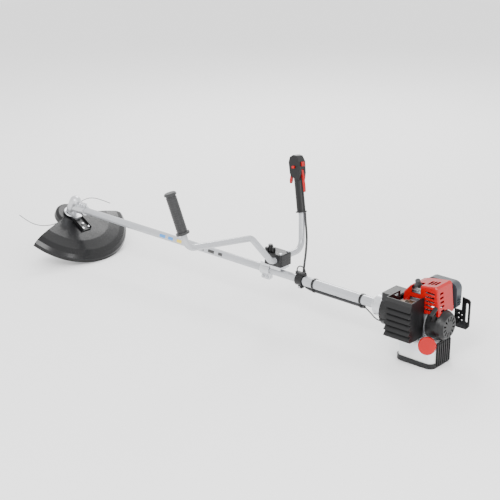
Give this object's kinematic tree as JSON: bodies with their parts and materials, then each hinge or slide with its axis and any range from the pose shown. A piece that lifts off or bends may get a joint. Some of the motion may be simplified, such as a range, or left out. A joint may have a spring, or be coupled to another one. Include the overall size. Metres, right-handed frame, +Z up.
{
  "type": "brush cutter",
  "caption": "Petrol brush cutter with a straight drive tube, bull handlebar with throttle grip, line head under a debris shield, and an engine over a fuel tank that the machine stands on.",
  "frame": {"origin": "on the plane of the tank guard's foot, straight below the drive tube's axis and the engine's cylinder", "axes": "+X along the drive tube from the cutting head to the engine, +Y to the throttle grip's side, +Z up"},
  "size_m": [1.8832, 0.6987, 0.5691],
  "materials": {
    "black_plastic": "moulded",
    "black_rubber": "moulded",
    "cast_alloy": "cast",
    "ceramic": "glazed",
    "dark_grey": "moulded",
    "gloss_black": "moulded",
    "line_nylon": "extruded",
    "muffler_steel": "heat painted",
    "primer_clear": "soft",
    "red_plastic": "moulded",
    "silver_cast": "cast",
    "steel": "machined",
    "white_tank": "translucent",
    "white_tube": "satin"
  },
  "bodies": {
    "frame": {"drive_tube": "white_tube", "tube_sleeve": "white_tube", "shaft_bearings": "steel", "gear_case": "silver_cast", "frame_bolts": "steel", "shield_bracket": "silver_cast", "debris_shield": "gloss_black", "line_cutter": "steel", "bar_bracket": "silver_cast", "clamp_lower": "black_plastic", "clamp_upper": "black_plastic", "hanger_block": "black_plastic", "hanger_eye": "steel", "cable_bands": "black_plastic", "cable_run": "black_rubber", "clutch_housing": "silver_cast", "fan_housing": "dark_grey", "crankcase": "cast_alloy", "cylinder": "cast_alloy", "spark_plug": "ceramic", "plug_cap": "black_rubber", "muffler": "muffler_steel", "muffler_guard": "black_plastic", "carburettor": "cast_alloy", "air_filter_cover": "dark_grey", "carb_guard": "black_plastic", "cylinder_cover": "red_plastic", "starter_housing": "black_plastic", "fuel_tank": "white_tank", "tank_guard": "black_plastic"},
    "drive_line": {"drive_shaft": "steel", "bevel_pinion": "steel", "clutch_drum": "steel"},
    "cutting_head": {"bevel_wheel": "steel", "spindle": "steel", "head_flange": "silver_cast", "trimmer_housing": "black_plastic", "trimmer_line_left": "line_nylon", "trimmer_line_right": "line_nylon"},
    "bump_knob": {"bump_knob": "black_plastic"},
    "handlebar": {"handlebar": "white_tube", "left_grip": "black_rubber", "throttle_housing": "black_plastic", "cable_bow": "black_rubber"},
    "throttle_trigger": {"throttle_trigger": "red_plastic"},
    "lockout_lever": {"lockout_lever": "red_plastic"},
    "stop_switch": {"stop_switch": "red_plastic"},
    "start_button": {"start_button": "red_plastic"},
    "clamp_knob": {"clamp_knob": "black_plastic"},
    "crank": {"crankshaft": "steel", "flywheel": "cast_alloy", "clutch_shoes": "steel"},
    "piston": {"piston": "cast_alloy", "connecting_rod": "steel"},
    "starter_pulley": {"starter_pulley": "dark_grey"},
    "starter_grip": {"starter_grip": "black_plastic", "starter_rope": "line_nylon"},
    "throttle_arm": {"throttle_arm": "steel"},
    "primer_bulb": {"primer_bulb": "primer_clear"},
    "fuel_cap": {"fuel_cap": "red_plastic"}
  },
  "joints": [
    {"name": "drive_spin", "type": "hinge", "parent": "frame", "child": "drive_line", "pos_m": [-0.9, 0, 0.14], "axis": [1, 0, 0], "continuous": true},
    {"name": "head_spin", "type": "hinge", "parent": "frame", "child": "cutting_head", "pos_m": [-1.675, 0, 0.14], "axis": [0.5, 0, 0.866], "continuous": true},
    {"name": "crank_spin", "type": "hinge", "parent": "frame", "child": "crank", "pos_m": [0, 0, 0.14], "axis": [1, 0, 0], "continuous": true},
    {"name": "piston_stroke", "type": "slide", "parent": "frame", "child": "piston", "axis": [0, 0, 1], "range_m": [-0.03, 0]},
    {"name": "bump_slide", "type": "slide", "parent": "cutting_head", "child": "bump_knob", "axis": [0.5, 0, 0.866], "range_m": [0, 0.005], "stiffness_N_per_m": 2500, "springref_m": -0.001},
    {"name": "handlebar_tilt", "type": "hinge", "parent": "frame", "child": "handlebar", "pos_m": [-0.583, 0, 0.195], "axis": [0, 1, 0], "range_deg": [-20, 20], "deforming": ["cable_bow"]},
    {"name": "throttle_pull", "type": "hinge", "parent": "handlebar", "child": "throttle_trigger", "pos_m": [-0.66244, 0.1762, 0.4567], "axis": [-0.0384, -0.9889, 0.1433], "range_deg": [0, 15], "stiffness_Nm_per_rad": 0.6, "springref_deg": -8.59},
    {"name": "lockout_press", "type": "hinge", "parent": "handlebar", "child": "lockout_lever", "pos_m": [-0.6417, 0.1765, 0.4643], "axis": [0.0384, 0.9889, -0.1433], "range_deg": [0, 5.7], "stiffness_Nm_per_rad": 0.8, "springref_deg": -5.73},
    {"name": "stop_slide", "type": "slide", "parent": "handlebar", "child": "stop_switch", "axis": [-0.256, 0.1483, 0.9552], "range_m": [-0.006, 0]},
    {"name": "start_press", "type": "slide", "parent": "handlebar", "child": "start_button", "axis": [0.0384, 0.9889, -0.1433], "range_m": [0, 0.003], "stiffness_N_per_m": 400, "springref_m": -0.001},
    {"name": "clamp_knob_turn", "type": "hinge", "parent": "frame", "child": "clamp_knob", "pos_m": [-0.617, -0.012, 0.24], "axis": [0, 0, 1], "range_deg": [0, 360]},
    {"name": "starter_pull", "type": "slide", "parent": "frame", "child": "starter_grip", "axis": [0.3041, -0.4562, 0.8363], "range_m": [0, 0.35], "stiffness_N_per_m": 20, "springref_m": -0.1, "deforming": ["starter_rope"]},
    {"name": "pulley_spin", "type": "hinge", "parent": "frame", "child": "starter_pulley", "pos_m": [0.07, 0, 0.14], "axis": [1, 0, 0], "continuous": true},
    {"name": "throttle_arm_turn", "type": "hinge", "parent": "frame", "child": "throttle_arm", "pos_m": [-0.006, 0.056, 0.2115], "axis": [0, 0, 1], "range_deg": [0, 45]},
    {"name": "primer_press", "type": "slide", "parent": "frame", "child": "primer_bulb", "axis": [0, 0, 1], "range_m": [0, 0.0025], "stiffness_N_per_m": 300, "springref_m": -0.001},
    {"name": "fuel_cap_turn", "type": "hinge", "parent": "frame", "child": "fuel_cap", "pos_m": [0.07398, -0.06797, 0.08748], "axis": [0.3995, -0.799, 0.4494], "range_deg": [0, 360]}
  ],
  "couplings": [
    {"joint": "head_spin", "follows": "drive_spin", "ratio": -0.68421},
    {"joint": "throttle_arm_turn", "follows": "throttle_pull", "ratio": 3},
    {"joint": "pulley_spin", "follows": "starter_pull", "rad_per_m": 45.455}
  ]
}
